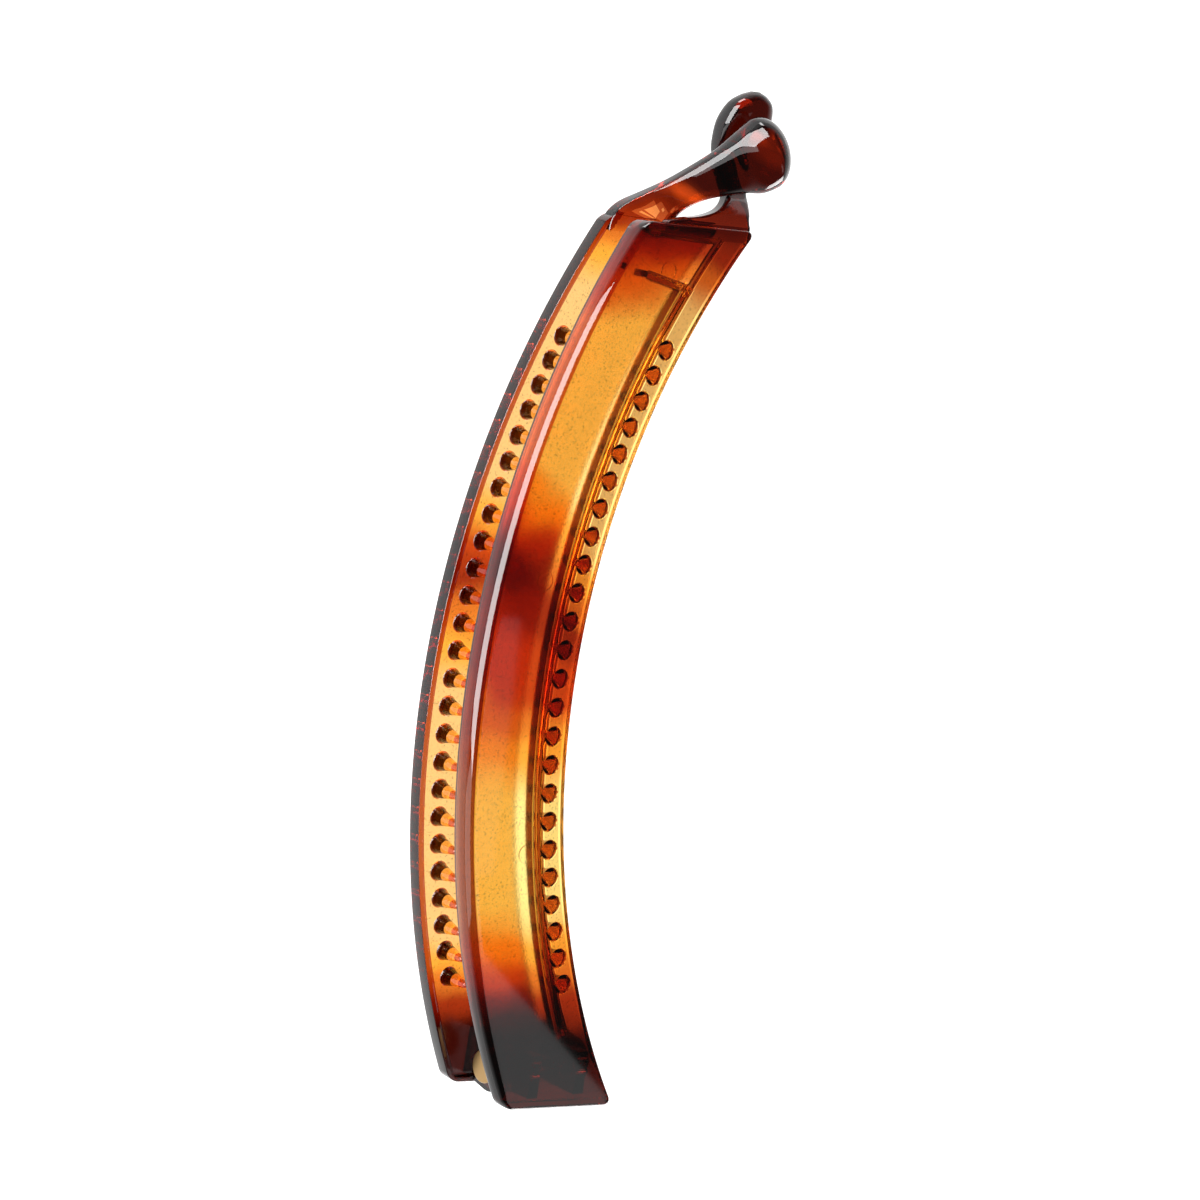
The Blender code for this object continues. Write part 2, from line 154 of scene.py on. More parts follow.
# Fingers of the clasp, a row for each section: its centre, the plan direction it faces, half its width
# and height, its roll about that direction, and how square it is (2 is an ellipse).
FINGER_SIDES = 56
FINGER_STEPS = 8
SECTION = ("x", "y", "z", "turn", "half_width", "half_height", "roll", "squareness")
BACK_FINGER = (
    (66.3, -17.5, 1.45, 0, 6.5, 1.35, 0, 8),
    (68.4, -17.9, 1.50, -4, 6.3, 1.40, 0, 8),
    (69.6, -19.3, 2.00, -34, 4.2, 1.45, 0, 6),
    (71.9, -20.8, 3.40, -48, 2.8, 1.55, -4, 5),
    (74.5, -23.4, 5.60, -52, 2.75, 1.65, -6, 4),
    (77.4, -26.9, 9.00, -52, 3.9, 1.90, -6, 3.2),
    (79.1, -29.1, 10.9, -54, 5.2, 2.80, -3, 2.6),
)
BALL_CENTRE = (80.9, -31.1, 11.8)
BALL_TURN = -56
BALL_AHEAD = 4.1
BALL_HALF_WIDTH = 5.9
BALL_HALF_HEIGHT = 3.8
BALL_STEPS = 14
BALL_LAST_ANGLE = 87
FRONT_FINGER = (
    (66.8, -24.2, -1.55, 0, 8.2, 0.85, 0, 8),
    (68.9, -24.2, -1.55, 0, 8.4, 0.90, 0, 8),
    (69.6, -25.5, -1.70, 0, 7.0, 0.95, 0, 7),
    (70.3, -27.7, -1.95, 0, 4.8, 1.05, 0, 6),
    (71.3, -29.5, -2.50, 0, 3.3, 1.15, 0, 5),
    (72.7, -30.9, -3.70, 0, 2.4, 1.25, 0, 4),
    (74.2, -31.7, -5.10, 0, 2.1, 1.35, 0, 4),
    (77.0, -31.9, -6.30, 0, 2.6, 1.40, 0, 4),
    (79.7, -31.8, -6.50, 0, 3.7, 1.60, 0, 3.5),
    (82.2, -31.9, -5.90, 0, 4.5, 2.10, 0, 3),
    (85.0, -32.0, -5.10, 0, 4.75, 2.40, 0, 2.8),
    (87.6, -32.2, -4.40, 0, 4.0, 2.20, 0, 2.5),
    (89.0, -32.4, -4.10, 0, 2.5, 1.50, 0, 2.2),
    (89.7, -32.5, -4.00, 0, 0.8, 0.60, 0, 2),
)

# Tortoiseshell: colour stops along each arm as (x in the row frame in millimetres, colour), and how the
# clouds shift them. The dark patch in the middle of the front arm lies aslant.
CLOUD_SCALE = 75.0
CLOUD_SHIFT = 0.010
FRONT_SLANT = 1.1
SLANT_MIDDLE = 0.007
SLANT_REACH = 0.025
STOP_LOW = -0.085
STOP_HIGH = 0.085
AMBER = (1.0, 0.98, 0.48)
HONEY = (0.90, 0.62, 0.31)
GOLDEN = (0.97, 0.88, 0.44)
ORANGE = (0.92, 0.46, 0.07)
BROWN = (0.70, 0.20, 0.03)
RED = (0.52, 0.065, 0.01)
DEEP = (0.33, 0.033, 0.008)
GARNET = (0.12, 0.010, 0.004)
NIGHT = (0.04, 0.003, 0.002)
FRONT_STOPS = (
    (-80, NIGHT), (-67, NIGHT), (-62.5, DEEP), (-58, BROWN), (-52.5, ORANGE), (-45, AMBER), (-31, AMBER),
    (-22, ORANGE), (-17, BROWN), (-13.5, RED), (-8, RED), (-2, DEEP), (3, DEEP), (8.5, BROWN),
    (14.5, ORANGE), (20, GOLDEN), (44, GOLDEN), (49.7, BROWN), (54, DEEP), (60, GARNET), (66, NIGHT),
    (76, NIGHT),
)
BACK_STOPS = (
    (-80, NIGHT), (-70, NIGHT), (-65.5, DEEP), (-62, BROWN), (-58.5, ORANGE), (-54, HONEY), (-18, HONEY),
    (-9, ORANGE), (-3, BROWN), (3, DEEP), (7, RED), (11.5, ORANGE), (16.5, HONEY), (47, HONEY),
    (52, ORANGE), (55.5, BROWN), (57.5, DEEP), (61, GARNET), (62.6, RED), (64, NIGHT), (68, NIGHT),
    (70.5, NIGHT), (72.2, DEEP), (73.2, NIGHT),
)

# Plastic: its fine grain on the arms' flat inner faces, and what its thickness takes from the light
PLASTIC_IOR = 1.5
GRAIN_SCALE = 2600.0
GRAIN_LOW = 0.26
GRAIN_HIGH = 0.43
GRAIN_DARKNESS = 0.60
GRAIN_BUMP = 0.25
GRAIN_DEPTH = 0.00005
FROST_ROUGHNESS = 0.18
POLISH_ROUGHNESS = 0.03
ABSORPTION_COLOUR = (0.886, 0.640, 0.086)
ABSORPTION_DENSITY = 350.0

# Painted shade and painted light in the base colour of some faces: darker where thick parts lose light,
# paler on the back finger's web
PLAIN = (1.0, 1.0, 1.0)
BACK_WALL_SHADE = (0.12, 0.03, 0.02)
BACK_RIM_SHADE = (0.24, 0.03, 0.02)
BACK_TOOTH_SHADE = (0.95, 0.62, 0.25)
BACK_TOOTH_END_SHADE = (0.35, 0.05, 0.02)
FRONT_WALL_SHADE = (0.60, 0.10, 0.04)
LOW_FRONT_WALL_SHADE = (0.16, 0.03, 0.02)
FRONT_TOOTH_SHADE = (0.22, 0.04, 0.02)
BESIDE_TEETH_SHADE = (0.38, 0.20, 0.14)
LOW_BESIDE_TEETH_SHADE = (0.66, 0.46, 0.35)
RIB_SHADE = (0.20, 0.035, 0.015)
CROSS_BAR_SHADE = (0.15, 0.05, 0.03)
HOLLOW_SHADE = (0.75, 0.52, 0.50)
FINGER_EDGE_SHADE = (0.12, 0.04, 0.03)
WEB_PAINTED_LIGHT = (3.0, 12.0, 20.0)
HOLLOW_FROST = 0.6

# Where those faces are, in millimetres in the plan and in height
FINGER_START_X = END_X + 0.3
BACK_FINGER_EDGE_END = 77.0
FRONT_FINGER_EDGE_END = 76.0
WEB_END_X = 70.8
WEB_DIAGONAL = (49.0, 51.8)
NEAR = 0.02
NEAR_PLATE = 0.03
MARGIN = 0.05
NEAR_INNER_FACE = 0.2
RIM_BAND = 1.75
BACK_BORDER = 2.0
WALL_CHANGE = (6.0, 24.0)
TOOTH_REACH = 1.7
TOOTH_FOOT_HEIGHT = 2.3
TOOTH_TIP_HEIGHT = 4.9
TEETH_END_X = 54.0
TEETH_BEYOND_RIB = 0.8
LOW_TEETH_END_X = 5.0
CROSS_BAR_END_OFFSET = 5.0
CROSS_BAR_REACH = 1.2
RIB_REACH = 0.1
RIB_START_DISTANCE = 12.0
HOLLOW_DEPTH = 1.2
HOLLOW_WALL_BAND = 4.0
HOLLOW_RIB_BAND = 3.0

# How steep or level those faces are, as the height share of their normals
STEEP = 0.5
FINGER_STEEP = 0.7
LEVEL = 0.9995
ROUND_NORMAL = (0.02, 0.96)
HOLLOW_NORMAL = (-LEVEL, -0.2)

# Gold of the pin, a dark gold made darker still as painted shade, and the angles in degrees from which
# edges are shaded sharp
GOLD_COLOUR = (0.33, 0.21, 0.09)
GOLD_ROUGHNESS = 0.35
ARM_SHARP_ANGLE = 32
PIN_SHARP_ANGLE = 40

# Floor, sky and camera, in metres
FLOOR_SIZE = 6.0
FLOOR_HEIGHT = -0.0002
FLOOR_GREY = 0.12
FLOOR_ROUGHNESS = 0.9
FLOOR_GLOW = 1.40
HORIZON_STRENGTH = 0.90
OVERHEAD_STRENGTH = 0.06
SKY_FADE = (0.15, 0.50)
CAMERA_LENS = 106.12
CAMERA_PLACE = (0.093770, 0.346370, 0.409298)
CAMERA_BACK = (0.17318, 0.64633, 0.74314)
CAMERA_UP = (0.97214, 0.008835, -0.23423)


def solid(name, verts, faces):
    """Mesh object in metres from points in millimetres in the row frame."""
    mesh = bpy.data.meshes.new(name)
    mesh.from_pydata([Vector(point) * MM for point in verts], [], faces)
    work = bmesh.new()
    work.from_mesh(mesh)
    bmesh.ops.recalc_face_normals(work, faces=work.faces)
    work.to_mesh(mesh)
    work.free()
    obj = bpy.data.objects.new(name, mesh)
    bpy.context.scene.collection.objects.link(obj)
    return obj


def loft_mesh(rings):
    """Points and faces of a closed skin through rings of equally many points."""
    sides = len(rings[0])
    verts = [point for ring in rings for point in ring]
    faces = [tuple(range(sides)), tuple(range(len(verts) - sides, len(verts)))]
    for step in range(len(rings) - 1):
        first = step * sides
        for side in range(sides):
            after = (side + 1) % sides
            faces.append((first + side, first + after, first + sides + after, first + sides + side))
    return verts, faces


def joined(parts):
    """Points and faces of several closed skins as one list each."""
    verts, faces = [], []
    for part_verts, part_faces in parts:
        start = len(verts)
        verts += part_verts
        faces += [tuple(index + start for index in face) for face in part_faces]
    return verts, faces


def in_row(x, y):
    """A plan place in the row frame."""
    return x - ORIGIN_X, y - ORIGIN_Y


def turns(degrees, parts, first=0):
    """Angles in radians that divide an arc from zero into equal parts, from the one called first."""
    return [math.radians(degrees) * part / parts for part in range(first, parts + 1)]


def on_arc(offset, angle):
    """Place at an offset outwards from the band's middle line, at an angle from the curve's crown."""
    radius = ARC_RADIUS + offset
    return in_row(ARC_CENTRE_X + radius * math.sin(angle), radius * math.cos(angle) - ARC_RADIUS)


def end_angles(offset):
    """Angles of the hinge end and the clasp end at an offset, and how far the round corner cuts in."""
    from_side = HALF_BAND - abs(offset)
    cut = 0.0
    if from_side < CORNER_RADIUS:
        cut = CORNER_RADIUS - math.sqrt(CORNER_RADIUS**2 - (CORNER_RADIUS - from_side)**2)
    radius = ARC_RADIUS + offset
    hinge_end = -math.asin((END_X - HINGE_END_SLANT * offset - cut + ARC_CENTRE_X) / radius)
    clasp_end = math.asin((END_X - cut - ARC_CENTRE_X) / radius)
    return hinge_end, clasp_end, cut


def edge_distance(from_side, from_end):
    """Distance to the plan's outline from its distances to a side and to an end, round the corner."""
    if from_side < CORNER_RADIUS and from_end < CORNER_RADIUS:
        return CORNER_RADIUS - math.hypot(CORNER_RADIUS - from_side, CORNER_RADIUS - from_end)
    return min(from_side, from_end)


def round_drop(distance, radius):
    """How far a rounded edge has fallen at a distance inwards from the outline."""
    if distance >= radius:
        return 0.0
    inside = radius - max(distance, 0.0)
    return radius - math.sqrt(max(radius**2 - inside**2, 0.0))


def wall_share(distance, thickness, depth, fillet):
    """How far a wall stands out from its plate at a distance inwards from the outline. Its foot and its
    tip are rounded."""
    tip_end = thickness - WALL_TIP_ROUND
    if distance <= tip_end:
        return depth - round_drop(distance, WALL_TIP_ROUND)
    if distance <= thickness:
        return depth - round_drop(thickness - distance, WALL_TIP_ROUND)
    foot_start = thickness + WALL_DRAFT
    foot_depth = min(fillet, FILLET_SHARE_OF_WALL * depth)
    if distance <= foot_start:
        along = (distance - thickness) / WALL_DRAFT
        top = depth - WALL_TIP_ROUND
        return top + (foot_depth - top) * along
    if distance <= foot_start + fillet:
        left = 1 - (distance - foot_start) / fillet
        return foot_depth * (1 - math.sqrt(max(1 - left**2, 0.0)))
    return 0.0


def near_edge_steps(thickness, edge_round, fillet=0.0):
    """Distances from the outline at which an arm has points, close together where its section turns."""
    steps = [0.0, CORNER_RADIUS, CORNER_RADIUS + CORNER_STEP, edge_round + STEP_BESIDE_ROUND]
    for turn in turns(90, EDGE_PARTS):
        steps += [edge_round * (1 - math.cos(turn)), CORNER_RADIUS * (1 - math.cos(turn))]
    if thickness:
        foot = thickness + WALL_DRAFT
        steps.append(foot + fillet + STEP_BESIDE_ROUND)
        for turn in turns(90, WALL_TIP_PARTS):
            inwards = WALL_TIP_ROUND * (1 - math.cos(turn))
            steps += [inwards, thickness - inwards]
        steps += [foot + fillet * (1 - math.cos(turn)) for turn in turns(90, WALL_FILLET_PARTS)]
    kept = []
    for step in sorted({round(step, 4) for step in steps}):
        if not kept or step - kept[-1] > SMALLEST_STEP:
            kept.append(step)
    return kept


def arm_mesh(heights, side_steps, hinge_steps, clasp_steps):
    """Skin of an arm. heights gives its low and high face from the distances to the convex side, the
    concave side, the hinge end and the clasp end, and the share of the length."""
    convex_steps, concave_steps = side_steps
    offsets = [-HALF_BAND + step for step in concave_steps]
    last = offsets[-1]
    first = HALF_BAND - convex_steps[-1]
    middle = max(2, round((first - last) / MIDDLE_STEP))
    offsets += [last + (first - last) * step / middle for step in range(1, middle)]
    offsets += [HALF_BAND - step for step in reversed(convex_steps)]
    stations = round(2 * END_X / STATION_LENGTH)
    rings = []
    along = [("hinge", step) for step in hinge_steps]
    along += [("share", step / stations) for step in range(1, stations)]
    along += [("clasp", step) for step in reversed(clasp_steps)]
    for kind, value in along:
        low_ring, high_ring = [], []
        for offset in offsets:
            start, stop, cut = end_angles(offset)
            radius = ARC_RADIUS + offset
            if kind == "hinge":
                angle = start + value / radius
            elif kind == "clasp":
                angle = stop - value / radius
            else:
                from_angle = start + hinge_steps[-1] / radius
                to_angle = stop - clasp_steps[-1] / radius
                angle = from_angle + (to_angle - from_angle) * value
            from_hinge = (angle - start) * radius + cut
            from_clasp = (stop - angle) * radius + cut
            share = from_hinge / (from_hinge + from_clasp)
            low, high = heights(HALF_BAND - offset, HALF_BAND + offset, from_hinge, from_clasp, share)
            x, y = on_arc(offset, angle)
            low_ring.append((x, y, low))
            high_ring.append((x, y, high))
        rings.append(low_ring + high_ring[::-1])
    verts, faces = loft_mesh(rings)
    faces = faces[2:]
    width = len(offsets)
    for first_point in (0, len(verts) - 2 * width):
        for step in range(width - 1):
            across = first_point + 2 * width - 1 - step
            faces.append((first_point + step, first_point + step + 1, across - 1, across))
    return verts, faces


def back_heights(convex, concave, hinge, clasp, share):
    """Low and high face of the back arm, from the distances to its sides and ends."""
    outline = min(edge_distance(min(convex, concave), min(hinge, clasp)), min(convex, concave))
    rim = edge_distance(convex, hinge)
    low = round_drop(outline, BACK_EDGE_ROUND)
    rise = BACK_RIM_HEIGHT - BACK_PLATE
    high = BACK_PLATE + wall_share(rim, BACK_RIM_THICKNESS, rise, BACK_WALL_FILLET)
    if rim > BACK_RIM_THICKNESS:
        high -= round_drop(outline, BACK_EDGE_ROUND)
    return low, high


def front_heights(convex, concave, hinge, clasp, share):
    """Low and high face of the front arm, whose wall gets lower towards the hinge."""
    top = PIN_Z + FRONT_OUTER
    inner = PIN_Z + FRONT_INNER
    side = min(convex, concave)
    end = min(hinge, clasp)
    outline = edge_distance(side, end)
    side_round = FRONT_SIDE_ROUND if convex < concave else FRONT_EDGE_ROUND
    weight = end / (end + side) if end + side > 0 else 0.5
    edge_round = FRONT_EDGE_ROUND + (side_round - FRONT_EDGE_ROUND) * weight
    high = top - round_drop(outline, edge_round)
    taper = max(0.0, 1 - share / FRONT_WALL_TAPER)
    depth = FRONT_WALL_DEPTH + (FRONT_WALL_END_DEPTH - FRONT_WALL_DEPTH) * taper - FRONT_PLATE
    wall = edge_distance(convex, hinge)
    low = inner - wall_share(wall, FRONT_WALL_THICKNESS, depth, FRONT_WALL_FILLET)
    if wall > FRONT_WALL_THICKNESS:
        low += round_drop(outline, FRONT_EDGE_ROUND)
    return low, high


def swept(path, profile):
    """Skin of a bar: profile holds (across, height) points, path (x, y) points in the row frame."""
    rings = []
    for index, point in enumerate(path):
        before = Vector(path[max(index - 1, 0)])
        after = Vector(path[min(index + 1, len(path) - 1)])
        ahead = (after - before).normalized()
        across = Vector((ahead.y, -ahead.x))
        rings.append([(point[0] + across.x * side, point[1] + across.y * side, height)
                      for side, height in profile])
    return loft_mesh(rings)


def rib_profile(foot, tip, half_thickness, fillets, into):
    """Section of a bar that hangs from the level foot to the level tip, with a rounded tip and with the
    foot's two fillets on the bar's left and right."""
    tip_round = BAR_TIP_ROUND_SHARE * half_thickness
    sides = []
    for fillet in fillets:
        side = [(half_thickness + fillet, foot + into), (half_thickness + fillet, foot)]
        for turn in turns(90, BAR_FILLET_PARTS, 1):
            side.append((half_thickness + fillet * (1 - math.sin(turn)),
                         foot - fillet * (1 - math.cos(turn))))
        for turn in turns(90, BAR_TIP_PARTS):
            side.append((half_thickness - tip_round * (1 - math.cos(turn)),
                         tip + tip_round * (1 - math.sin(turn))))
        sides.append(side)
    left, right = sides
    return right + [(-across, height) for across, height in reversed(left)]


def arc_path(start, stop, steps):
    """Places along the rib's arc, from one angle to another."""
    return [on_arc(RIB_OFFSET, start + (stop - start) * step / steps) for step in range(steps + 1)]


def straight_path(first, last, steps):
    return [tuple(Vector(first).lerp(Vector(last), step / steps)) for step in range(steps + 1)]


def inner_bars():
    """Tools for the front arm's rib and cross bar, and for the low ridge that goes on to the clasp end
    and along it."""
    inner = PIN_Z + FRONT_INNER
    radius = ARC_RADIUS + RIB_OFFSET
    start = math.radians(RIB_START_ANGLE)
    turn = math.asin((CROSS_BAR_X - ARC_CENTRE_X) / radius)
    stop = math.asin((RIDGE_END_X - ARC_CENTRE_X) / radius)
    half = RIB_HALF_THICKNESS
    ridge_half = RIDGE_HALF_THICKNESS
    rib_fillets = (RIB_PANEL_FILLET, RIB_TOOTH_FILLET)
    bar_fillets = (RIB_TOOTH_FILLET, RIB_TOOTH_FILLET)
    rib_root, bar_root, ridge_root, end_root = BAR_ROOTS
    rib_tip = inner - RIB_DEPTH
    ridge_tip = inner - RIDGE_DEPTH
    rib_section = rib_profile(inner, rib_tip, half, rib_fillets, rib_root)
    bar_section = rib_profile(inner, rib_tip + BAR_TIP_STEP, half, bar_fillets, bar_root)
    ridge_section = rib_profile(inner, ridge_tip, ridge_half, bar_fillets, ridge_root)
    end_section = rib_profile(inner, ridge_tip + BAR_TIP_STEP, ridge_half, bar_fillets, end_root)
    rib_path = arc_path(start, turn, steps=110)
    bar_path = straight_path(on_arc(RIB_OFFSET, turn - half / radius), in_row(*CROSS_BAR_END), steps=4)
    ridge_path = arc_path(turn - RIDGE_OVERLAP_ANGLE, stop, steps=8)
    end_corner = on_arc(RIB_OFFSET, stop - half / radius)
    end_path = straight_path(end_corner, in_row(RIDGE_END_X, RIDGE_END_Y), steps=6)
    return [("rib", swept(rib_path, rib_section), "UNION"),
            ("cross_bar", swept(bar_path, bar_section), "UNION"),
            ("ridge", swept(ridge_path, ridge_section), "UNION"),
            ("end_ridge", swept(end_path, end_section), "UNION")]


def tooth(offset, angle, root, direction):
    """Skin of a cone with a rounded tip that stands on a plate at height root and points up or down."""
    x, y = on_arc(offset, angle)
    cone_length = TOOTH_LENGTH - TOOTH_TIP_RADIUS
    slope = (TOOTH_BASE_RADIUS - TOOTH_TIP_RADIUS) / cone_length
    foot_radius = TOOTH_BASE_RADIUS + TOOTH_FOOT
    levels = [(-TOOTH_ROOT, foot_radius), (0.0, foot_radius), (TOOTH_FOOT, TOOTH_BASE_RADIUS)]
    for part in range(1, TOOTH_PARTS + 1):
        height = cone_length * part / TOOTH_PARTS
        levels.append((height, TOOTH_BASE_RADIUS - slope * height))
    for turn in turns(TOOTH_TIP_ANGLE, TOOTH_PARTS, 1):
        levels.append((cone_length + TOOTH_TIP_RADIUS * math.sin(turn), TOOTH_TIP_RADIUS * math.cos(turn)))
    rings = []
    for height, radius in levels:
        level = root + direction * height
        ring = []
        for side in range(TOOTH_SIDES):
            turn = 2 * math.pi * side / TOOTH_SIDES
            ring.append((x + radius * math.cos(turn), y + radius * math.sin(turn), level))
        rings.append(ring)
    return loft_mesh(rings)


def tooth_row(row, root, direction):
    """Skins of a row of teeth. Their angles follow a curve through the first, middle and last one."""
    ends_mean = (row["first"] + row["last"]) / 2
    skins = []
    for index in range(row["count"]):
        share = index / (row["count"] - 1)
        angle = row["first"] + share * (row["last"] - row["first"])
        angle += (row["middle"] - ends_mean) * 4 * share * (1 - share)
        skins.append(tooth(row["offset"], math.radians(angle), root, direction))
    return joined(skins)


def circle(centre_x, centre_z, radius, start=0.0, stop=360.0, steps=48):
    """Points (x, z) of an arc. A whole circle leaves out its last point, which is its first."""
    count = steps if stop - start == 360.0 else steps + 1
    points = []
    for step in range(count):
        angle = math.radians(start + (stop - start) * step / steps)
        points.append((centre_x + radius * math.cos(angle), centre_z + radius * math.sin(angle)))
    return points


def slab(outline, y_range):
    """Skin of an outline of (x, z) points drawn out along Y."""
    return loft_mesh([[(x - ORIGIN_X, y - ORIGIN_Y, z) for x, z in outline] for y in y_range])


def lug_spans(outer):
    """Y ranges of a pair of lugs whose outer faces lie at this distance from the hinge's middle."""
    return [(HINGE_Y - outer, HINGE_Y - outer + LUG_THICKNESS),
            (HINGE_Y + outer - LUG_THICKNESS, HINGE_Y + outer)]


def smooth_rows(rows, steps):
    """Rows of a table with steps rows for each of its gaps, on a smooth curve through all of them."""
    result = []
    for index in range(len(rows) - 1):
        before = rows[max(index - 1, 0)]
        first, second = rows[index], rows[index + 1]
        after = rows[min(index + 2, len(rows) - 1)]
        for step in range(steps):
            t = step / steps
            result.append(tuple(
                0.5 * (2 * b + (c - a) * t + (2 * a - 5 * b + 4 * c - d) * t**2
                       + (3 * b - a - 3 * c + d) * t**3)
                for a, b, c, d in zip(before, first, second, after)))
    return result + [rows[-1]]


def section_ring(row, base_height):
    """Ring of a finger's section: a rounded rectangle that stands upright and faces its turn."""
    part = dict(zip(SECTION, row))
    turn = math.radians(part["turn"])
    roll = math.radians(part["roll"])
    power = 2 / part["squareness"]
    ring = []
    for side in range(FINGER_SIDES):
        angle = 2 * math.pi * (side + 0.5) / FINGER_SIDES
        across = math.copysign(abs(math.cos(angle))**power, math.cos(angle)) * part["half_width"]
        up = math.copysign(abs(math.sin(angle))**power, math.sin(angle)) * part["half_height"]
        across, up = (across * math.cos(roll) - up * math.sin(roll),
                      across * math.sin(roll) + up * math.cos(roll))
        ring.append((part["x"] - across * math.sin(turn) - ORIGIN_X,
                     part["y"] + across * math.cos(turn) - ORIGIN_Y,
                     part["z"] + up + base_height))
    return ring


def ball_rows():
    """Sections of the back finger's ball, from its middle to its tip."""
    turn = math.radians(BALL_TURN)
    rows = []
    for step in range(BALL_STEPS + 1):
        angle = math.radians(BALL_LAST_ANGLE) * step / BALL_STEPS
        ahead = BALL_AHEAD * math.sin(angle)
        half_width = BALL_HALF_WIDTH * math.cos(angle)
        half_height = BALL_HALF_HEIGHT * math.cos(angle)
        x = BALL_CENTRE[0] + ahead * math.cos(turn)
        y = BALL_CENTRE[1] + ahead * math.sin(turn)
        rows.append((x, y, BALL_CENTRE[2], BALL_TURN, half_width, half_height, 0, 2))
    return rows


def back_finger():
    """Skin of the back arm's finger with the ball at its end."""
    balls = ball_rows()
    rows = smooth_rows(list(BACK_FINGER) + balls[:1], FINGER_STEPS) + balls[1:]
    return loft_mesh([section_ring(row, 0.0) for row in rows])


def front_finger():
    """Skin of the front arm's finger with the knob at its end."""
    rows = smooth_rows(list(FRONT_FINGER), FINGER_STEPS)
    return loft_mesh([section_ring(row, FRONT_OUTER + PIN_Z) for row in rows])


def combined(name, base, tools):
    """One closed mesh from a base skin and tool skins that are added to it or cut out of it."""
    arm = solid(name, *base)
    pieces = []
    for tool_name, skin, operation in tools:
        tool = solid(name + "_" + tool_name, *skin)
        change = arm.modifiers.new(tool_name, "BOOLEAN")
        change.operation = operation
        change.object = tool
        change.solver = "EXACT"
        pieces.append(tool)
    bpy.context.view_layer.update()
    evaluated = arm.evaluated_get(bpy.context.evaluated_depsgraph_get())
    mesh = bpy.data.meshes.new_from_object(evaluated)
    arm.modifiers.clear()
    arm.data = mesh
    for tool in pieces:
        bpy.data.objects.remove(tool, do_unlink=True)
    return arm


def shade(obj, sharp_angle):
    """Shade a piece smoothly, except at edges that turn by more degrees than this."""
    obj.data.shade_smooth()
    obj.data.set_sharp_from_angle(angle=math.radians(sharp_angle))


def ring_cut(centre, level):
    """Skin of a thin ring, for the round groove that an ejector pin leaves in a face at this level."""
    verts, faces = [], []
    section = ((EJECTOR_RADIUS, -EJECTOR_GROOVE), (EJECTOR_RADIUS, EJECTOR_GROOVE),
               (EJECTOR_RADIUS - EJECTOR_GROOVE, EJECTOR_GROOVE),
               (EJECTOR_RADIUS - EJECTOR_GROOVE, -EJECTOR_GROOVE))
    for side in range(EJECTOR_SIDES):
        turn = 2 * math.pi * side / EJECTOR_SIDES
        for radius, height in section:
            verts.append((centre[0] + radius * math.cos(turn), centre[1] + radius * math.sin(turn),
                          level + height))
    for side in range(EJECTOR_SIDES):
        first, after = 4 * side, 4 * ((side + 1) % EJECTOR_SIDES)
        for corner in range(4):
            other = (corner + 1) % 4
            faces.append((first + corner, first + other, after + other, after + corner))
    return verts, faces


def build_back_arm():
    """Back arm: plate with a rim, teeth, finger and lugs, and the hole for the pin."""
    edge = near_edge_steps(BACK_RIM_THICKNESS, BACK_EDGE_ROUND, BACK_WALL_FILLET)
    plain = near_edge_steps(0.0, BACK_EDGE_ROUND)
    base = arm_mesh(back_heights, (edge, plain), edge, plain)
    foot_start, foot_end = BACK_LUG_FOOT
    in_plate = BACK_PLATE / 2
    lug_outline = [(foot_start, in_plate), (foot_end, in_plate), (foot_end, BACK_LUG_SHOULDER)]
    lug_outline += circle(PIN_X, PIN_Z, BACK_LUG_RADIUS, *BACK_LUG_ARC, LUG_STEPS)
    lug_outline += [(foot_start, BACK_LUG_SHOULDER)]
    lugs = [slab(lug_outline, span) for span in lug_spans(BACK_LUG_OUTER)]
    hole_reach = 2 * BACK_LUG_OUTER
    hole = slab(circle(PIN_X, PIN_Z, HOLE_RADIUS), (HINGE_Y - hole_reach, HINGE_Y + hole_reach))
    tools = [("teeth", tooth_row(BACK_TEETH, BACK_PLATE, 1), "UNION"),
             ("finger", back_finger(), "UNION"),
             ("lugs", joined(lugs), "UNION"),
             ("hole", hole, "DIFFERENCE")]
    arm = combined("back_arm_plastic", base, tools)
    mark_faces(arm, back_finish)
    return arm


